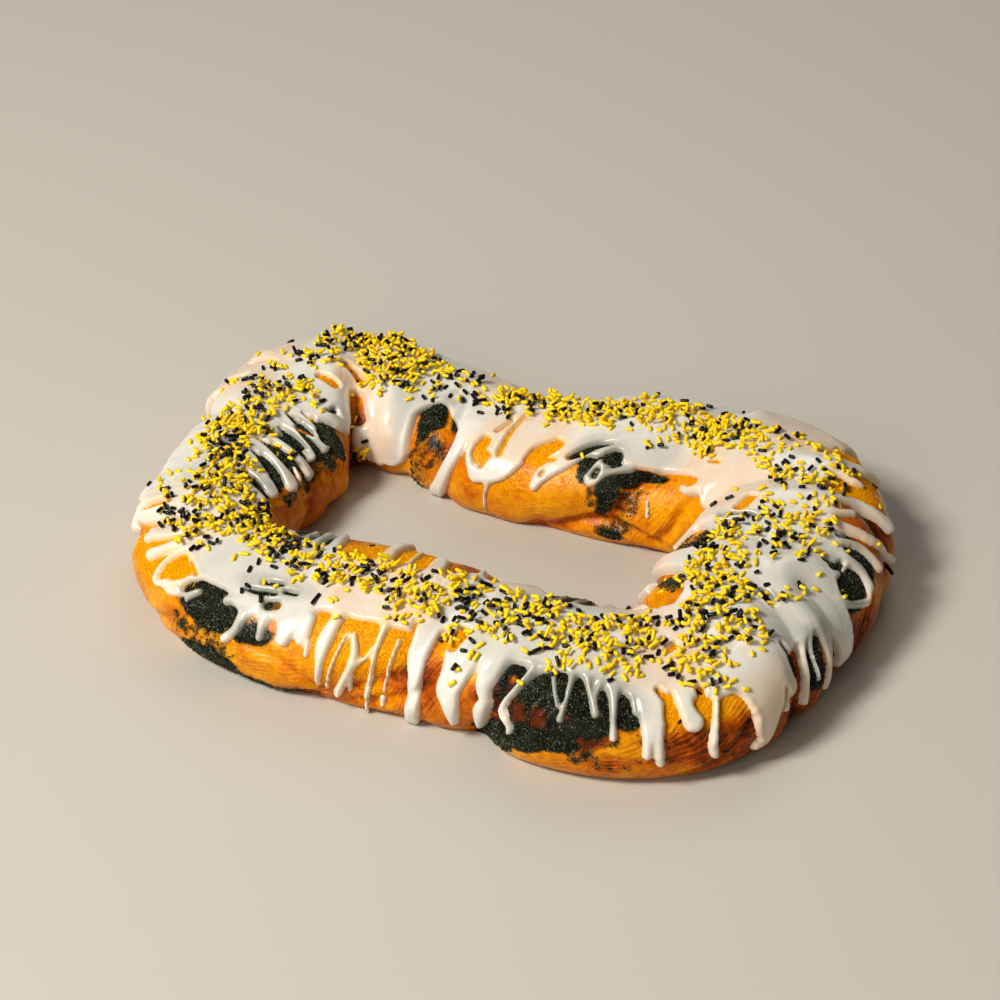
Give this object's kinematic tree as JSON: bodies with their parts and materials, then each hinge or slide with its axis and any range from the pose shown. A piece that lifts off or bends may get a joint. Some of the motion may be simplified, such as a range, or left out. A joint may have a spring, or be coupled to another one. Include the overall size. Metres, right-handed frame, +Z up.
{
  "type": "king cake",
  "caption": "Rectangular ring of twisted sweet dough with poured white icing, runs down both sides and rod sprinkles.",
  "frame": {"origin": "on the surface the cake stands on, under the middle of its bounding box", "axes": "+Z up, +X along the two long legs to the right when seen from the front, +Y from the front leg to the back leg"},
  "size_m": [0.4492, 0.3324, 0.0717],
  "materials": {
    "dough": "baked sweet dough, golden brown, satin glaze",
    "icing": "poured sugar icing, white, slightly see-through, glossy"
  },
  "bodies": {
    "root": {"dough_ring": "dough", "icing": "icing"}
  },
  "joints": []
}
